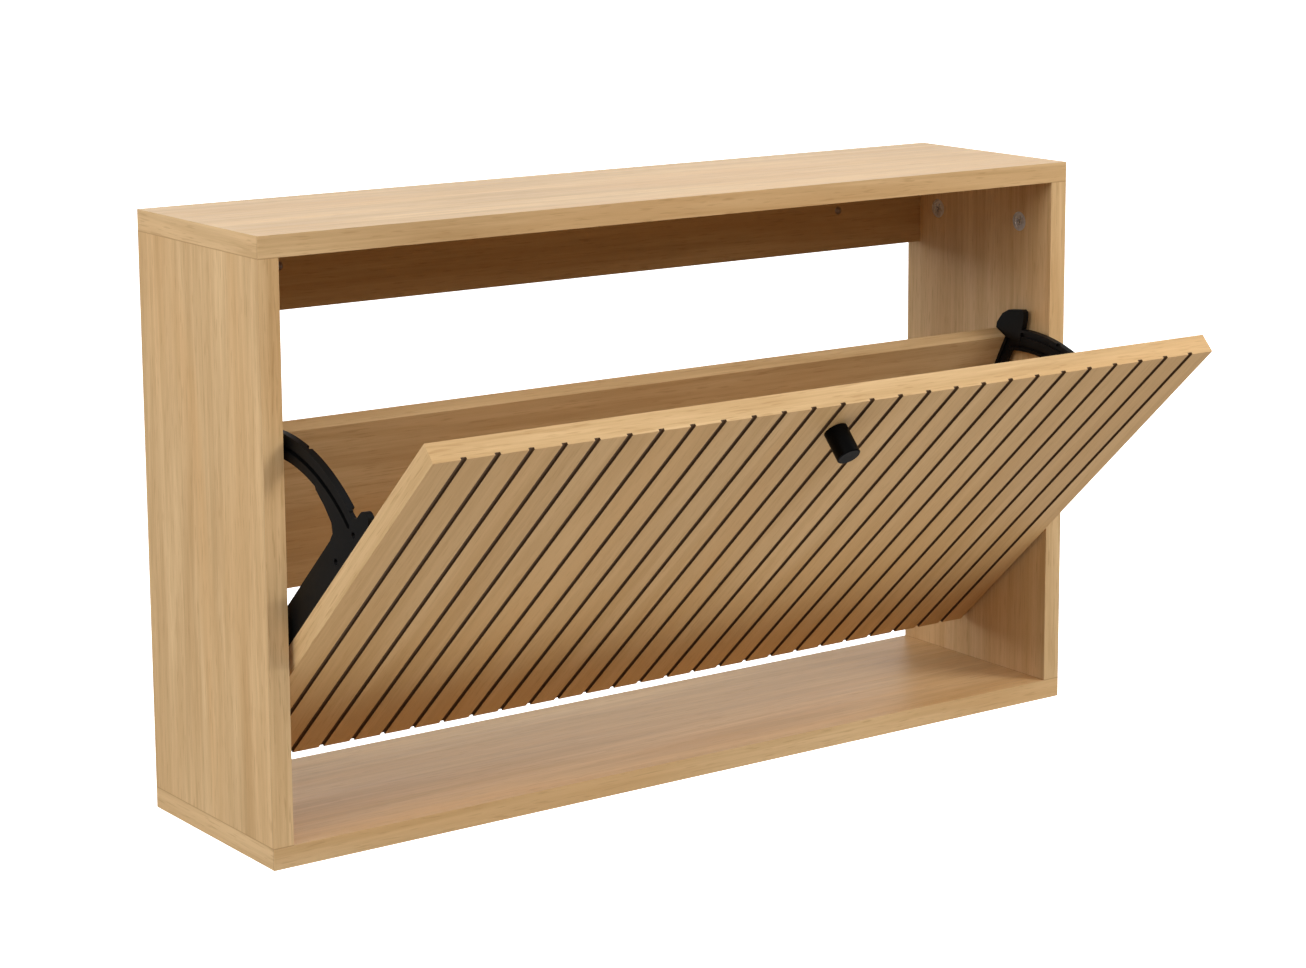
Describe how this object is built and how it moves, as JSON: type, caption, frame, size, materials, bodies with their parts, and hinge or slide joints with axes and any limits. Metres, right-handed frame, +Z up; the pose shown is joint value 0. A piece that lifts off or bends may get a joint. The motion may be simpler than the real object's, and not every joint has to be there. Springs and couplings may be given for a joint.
{
  "type": "shoe cabinet",
  "caption": "Shallow wall-hung shoe cabinet with one grooved flap that tilts forward on side pins and carries a rear board.",
  "frame": {"origin": "midway between the two wall screw holes, on the rear face of the back rail", "axes": "+X to the right seen from the front, -Y out of the front, +Z up, wall at y = 0"},
  "size_m": [0.7, 0.3533, 0.426],
  "materials": {
    "case_oak": "satin",
    "door_oak": "satin",
    "inner_oak": "satin",
    "black_plastic": "matte",
    "zinc": "satin",
    "beech": "matte"
  },
  "bodies": {
    "case": {"top_panel": "case_oak", "bottom_panel": "case_oak", "left_side_panel": "case_oak", "right_side_panel": "case_oak", "back_rail": "inner_oak", "cam_locks": "zinc", "cam_bolts": "zinc", "panel_dowels": "beech", "rail_dowels": "beech", "base_screws": "zinc", "pivot_pins": "black_plastic", "guide_pins": "black_plastic"},
    "flap": {"door_panel": "door_oak", "rear_board": "inner_oak", "left_bracket": "black_plastic", "right_bracket": "black_plastic", "door_screws": "zinc", "board_screws": "zinc", "knob": "black_plastic", "knob_screw": "zinc"}
  },
  "joints": [
    {"name": "flap_tilt", "type": "hinge", "parent": "case", "child": "flap", "pos_m": [0, -0.151, -0.2345], "axis": [1, 0, 0], "range_deg": [-47, 0]}
  ]
}
